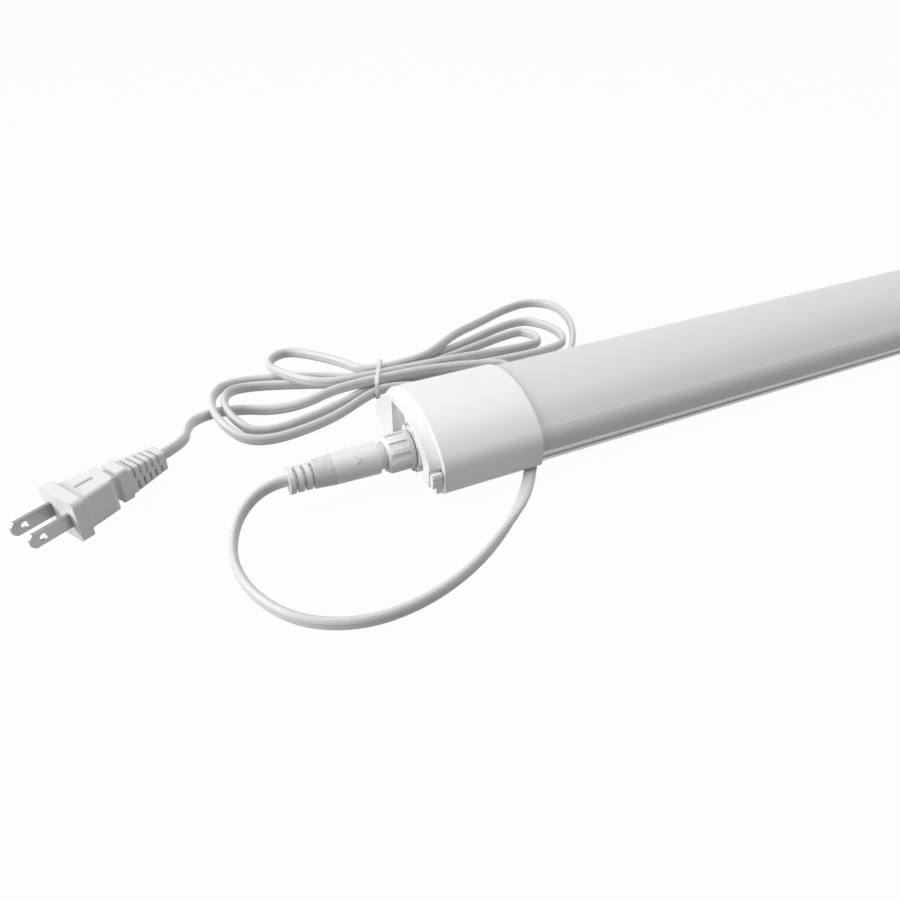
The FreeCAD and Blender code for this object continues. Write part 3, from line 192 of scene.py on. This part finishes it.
materialByStart = {
    "end_sleeve": "whitePlastic", "end_plug": "whitePlastic", "base_channel": "aluminium",
    "diffuser": "diffuserPlastic", "end_gasket": "sealRubber", "inlet_seal": "sealRubber",
    "connector_seal": "sealRubber", "led_tray": "sheetSteel", "tray_screws": "springSteel",
    "inlet_back_nut": "springSteel", "hanging": "springSteel", "led_board": "boardWhite",
    "led_chips": "chipYellow", "driver_board": "boardGreen", "driver": "darkPlastic",
    "board_link": "leadPlastic", "input_wires": "leadPlastic", "output_wires": "leadPlastic",
    "inlet_pins": "brass", "connector_contacts": "brass", "plug_blade": "nickel", "plug_body": "plugPlastic",
    "connector_body": "connectorPlastic", "coupling_nut": "connectorPlastic", "nut_ring": "connectorPlastic",
    "inlet_socket": "connectorPlastic", "hank_tie": "tiePlastic", "cord": "leadPlastic",
}
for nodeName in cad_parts:
    starts = [start for start in materialByStart if nodeName.startswith(start)]
    chosen = materialByStart[max(starts, key=len)]  # the longest match names the piece best
    solid = bpy.data.objects[nodeName]
    solid.data.materials.clear()
    solid.data.materials.append(materials[chosen])
print("materials: done")


lead = {
    "low": 2.25, "step": 5.6, "lift": 1.2, "pitch": 5.0,  # millimetres, as are the route's points
    "waist": (12.2, 73.3), "waistHalf": 6.0, "waistReach": 9.0,
    "underLightX": (20, 120), "underLightY": 52, "onEdgeLift": 0.6, "flatLift": 0.9,
    "width": 0.0056, "thickness": 0.0033, "valley": 0.96, "length": 1.94,  # metres from here on
    "exit": (-0.059, -0.006, 0.0148), "smoothness": 10, "profileSmoothness": 4,
}


# Corners of one loop of the hank: out along a tilted axis, round, and back.
def hankLoop(tilt, origin, reach, half, depth, swells, heights):
    angle = math.radians(tilt)
    along = Vector((math.cos(angle), math.sin(angle)))
    across = Vector((math.sin(angle), -math.cos(angle)))
    centre = reach - depth
    inner = math.tan(math.pi / 8)
    early = 0.4 * reach
    stations = (
        (early, swells[0]), (centre + inner * depth, half), (reach, inner * half),
        (reach, -inner * half), (centre + inner * depth, -half), (early, -swells[1]),
    )
    places = [Vector(origin) + along * out + across * wide for out, wide in stations]
    return [(place.x, place.y, height) for place, height in zip(places, heights)]


def leadRoute():
    low = lead["low"]
    high = low + lead["step"]
    lift = lead["lift"]
    top = high + lift
    pitch = lead["pitch"]
    waist = lead["waist"]
    carry = high + lift / 2
    slots = {
        "p1": (pitch, high), "p2": (1.5 * pitch, low), "p3": (pitch / 2, low), "p4": (0, high),
        "p5": (-pitch, high), "p6": (-pitch / 2, low), "p7": (-1.5 * pitch, low),
    }

    def edge(slot, side):
        offset, height = slots[slot]
        return (waist[0] + side * lead["waistHalf"], waist[1] + offset, height + lift)

    level = (low,) * 6
    bridge = (low, low + 1.75, high, high, low, low)  # over the stretch that leads to the plug
    climb = (low, low, low, low, (low + high) / 2, high)
    front = [
        (-59.0, -6, 14.8), (-68, -6, 14.8), (-79, -9, 9), (-86.5, -19, 3.4), (-89, -36, low), (-85, -55, low),
        (-74, -72, low), (-55, -82, low), (-32, -82, low), (-8, -74, low), (14, -60, low), (33, -44, low),
        (48, -24, low), (64, -3, low), (82, 20, low), (104, 43, low), (128, 63, low), (142, 82, low),
        (151, 102, low), (153, 121, low), (141, 133, low), (120, 129, low), (96, 115, 4.5), (72, 101, 7.85),
        (54, 88, 8.5), (39, 78.3, top),
    ]
    hank = [edge("p1", -1)]
    hank += hankLoop(137, waist, 63, 12, 12, (7.5, 20), (carry, high, high, high, high, carry))
    hank += [edge("p4", -1), edge("p4", 1)]
    hank += hankLoop(8, waist, 106, 11, 9, (7, 4.5), (high, low, low, low, low, low))
    hank += [edge("p3", 1), edge("p3", -1)]
    hank += hankLoop(178, waist, 80, 25, 18, (15, 15), bridge)
    hank += [edge("p6", -1), edge("p6", 1)]
    hank += hankLoop(8.5, waist, 122, 23, 20, (10.5, 10.5), level)
    hank += [edge("p2", 1), edge("p2", -1)]
    hank += hankLoop(178, waist, 86, 32, 22, (25, 25), bridge)
    hank += [edge("p7", -1), edge("p7", 1)]
    hank += hankLoop(-10, (waist[0], waist[1] - 6.3), 72, 7, 7, (5.5, 5.5), climb)
    hank += [edge("p5", 1)]
    toPlug = [
        (-13, 68.3, 8.6), (-30, 66.5, 5.2), (-45, 71, 2.5), (-59, 79.5, low), (-73, 83, low),
        (-84.5, 77, 3.6), (-88.6, 64.3, 7.2), (-91.33, 50.06, 9.65), (-103.48, 43.11, 9.65),
    ]
    return front + hank + toPlug


# The lead's section: a flat strip with round edges and a faint valley between its two cores.
def flatProfile(width, thickness):
    curve = bpy.data.curves.new("leadProfile", "CURVE")
    curve.dimensions = "2D"
    spline = curve.splines.new("BEZIER")
    core = thickness / 2
    offset = width / 2 - core
    places = (
        (0, -width / 2), (core, -offset), (core * lead["valley"], 0), (core, offset),
        (0, width / 2), (-core, offset), (-core * lead["valley"], 0), (-core, -offset),
    )
    spline.bezier_points.add(len(places) - 1)
    for point, (x, y) in zip(spline.bezier_points, places):
        point.co = (x, y, 0)
        point.handle_left_type = "AUTO"
        point.handle_right_type = "AUTO"
    spline.use_cyclic_u = True
    spline.resolution_u = lead["profileSmoothness"]
    return bpy.data.objects.new("leadProfile", curve)


def buildLead():
    curve = bpy.data.curves.new("lead", "CURVE")
    curve.dimensions = "3D"
    curve.twist_mode = "Z_UP"
    spline = curve.splines.new("NURBS")
    route = leadRoute()
    firstX, lastX = lead["underLightX"]
    spline.points.add(len(route) - 1)
    for point, (x, y, z) in zip(spline.points, route):
        underLight = abs(y) < lead["underLightY"] and firstX < x < lastX  # there it lies flat, below the base
        atWaist = math.dist((x, y), lead["waist"]) < lead["waistReach"]
        lift = lead["flatLift"] if underLight else 0 if atWaist else lead["onEdgeLift"]
        point.co = (rimX + x / 1000, y / 1000, (z + lift) / 1000, 1)
        point.tilt = math.pi / 2 if underLight else 0
    spline.order_u = 3
    spline.use_endpoint_u = True
    spline.resolution_u = lead["smoothness"]
    curve.bevel_mode = "OBJECT"
    curve.bevel_object = flatProfile(lead["width"], lead["thickness"])
    curve.use_fill_caps = True
    curve.materials.append(materials["leadPlastic"])
    piece = bpy.data.objects.new("lead", curve)
    scene.collection.objects.link(piece)
    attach(piece, "housing")
    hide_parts("cord_front_loop", "cord_hank", "cord_plug_lead")
    x, y, z = lead["exit"]


buildLead()
print("lead: done")


studio = {
    "floorWhite": 0.97, "floorTone": 0.32, "floorReach": 12.0, "floorDrop": 0.0002, "worldLight": 0.14,
    "aim": (0.05, 0, 0.02),
    "lamps": {  # power, size and place; the places, like the camera's, are from the sleeve's rim
        "topLamp": (10.0, 1.2, (0.2, 0.1, 1.2)),
        "keyLamp": (14.0, 0.8, (-1.15, 0.15, 0.5)),
        "fillLamp": (0.4, 1.0, (0.5, -1.0, 0.7)),
    },
}

cameraSettings = {
    "place": (-0.10669, -0.25495, 0.19773), "forward": (0.36344508, 0.74100374, -0.56464247),
    "right": (0.89782112, -0.44036035, 0), "sensorWidth": 36, "focalPixels": 742, "imagePixels": 900,
    "nearest": 0.01,
}


# One where a ray is the camera's, a glossy or a transmission one.
def cameraSeen(nodes, links):
    path = nodes.new("ShaderNodeLightPath")
    first = nodes.new("ShaderNodeMath")
    first.operation = "MAXIMUM"
    second = nodes.new("ShaderNodeMath")
    second.operation = "MAXIMUM"
    links.new(path.outputs["Is Camera Ray"], first.inputs[0])
    links.new(path.outputs["Is Glossy Ray"], first.inputs[1])
    links.new(first.outputs[0], second.inputs[0])
    links.new(path.outputs["Is Transmission Ray"], second.inputs[1])
    return second.outputs[0]


def buildFloor():
    mesh = bpy.data.meshes.new("floor")
    reach = studio["floorReach"]
    corners = [(-reach, -reach, 0), (reach, -reach, 0), (reach, reach, 0), (-reach, reach, 0)]
    mesh.from_pydata(corners, [], [(0, 1, 2, 3)])
    floor = bpy.data.objects.new("floor", mesh)
    floor.location.z = -studio["floorDrop"]
    scene.collection.objects.link(floor)
    material = bpy.data.materials.new("floor")
    material.use_nodes = True
    nodes, links = material.node_tree.nodes, material.node_tree.links
    shader = nodes["Principled BSDF"]
    shader.inputs["Base Color"].default_value = (*[studio["floorTone"]] * 3, 1)
    shader.inputs["Roughness"].default_value = 0.9
    glow = nodes.new("ShaderNodeEmission")
    glow.inputs["Strength"].default_value = 1.0
    mix = nodes.new("ShaderNodeMixShader")
    share = nodes.new("ShaderNodeMath")
    share.operation = "MULTIPLY"
    share.inputs[1].default_value = studio["floorWhite"]
    links.new(cameraSeen(nodes, links), share.inputs[0])
    links.new(share.outputs[0], mix.inputs[0])
    links.new(shader.outputs[0], mix.inputs[1])
    links.new(glow.outputs[0], mix.inputs[2])
    links.new(mix.outputs[0], nodes["Material Output"].inputs["Surface"])
    mesh.materials.append(material)


def buildWorld():
    world = bpy.data.worlds.new("studio")
    scene.world = world
    world.use_nodes = True
    nodes, links = world.node_tree.nodes, world.node_tree.links
    background = nodes["Background"]
    background.inputs["Color"].default_value = (1, 1, 1, 1)
    strength = nodes.new("ShaderNodeMapRange")
    strength.inputs["To Min"].default_value = studio["worldLight"]
    strength.inputs["To Max"].default_value = 1.0
    links.new(cameraSeen(nodes, links), strength.inputs["Value"])
    links.new(strength.outputs[0], background.inputs["Strength"])


def fromRim(offset):
    return Vector((rimX, 0, 0)) + Vector(offset)


def buildLamp(name, power, size, place):
    light = bpy.data.lights.new(name, "AREA")
    light.energy = power
    light.size = size
    lamp = bpy.data.objects.new(name, light)
    lamp.location = fromRim(place)
    lamp.rotation_euler = (Vector(studio["aim"]) - Vector(place)).to_track_quat("-Z", "Y").to_euler()
    scene.collection.objects.link(lamp)


def buildCamera():
    data = bpy.data.cameras.new("camera")
    data.sensor_width = cameraSettings["sensorWidth"]
    data.lens = cameraSettings["focalPixels"] / cameraSettings["imagePixels"] * cameraSettings["sensorWidth"]
    data.clip_start = cameraSettings["nearest"]
    camera = bpy.data.objects.new("camera", data)
    forward = Vector(cameraSettings["forward"])
    right = Vector(cameraSettings["right"])
    turn = Matrix((right, right.cross(forward), -forward)).transposed().to_4x4()
    camera.matrix_world = Matrix.Translation(fromRim(cameraSettings["place"])) @ turn
    scene.collection.objects.link(camera)
    scene.camera = camera


buildFloor()
buildWorld()
for lampName, (power, size, place) in studio["lamps"].items():
    buildLamp(lampName, power, size, place)
buildCamera()
print("studio: done")
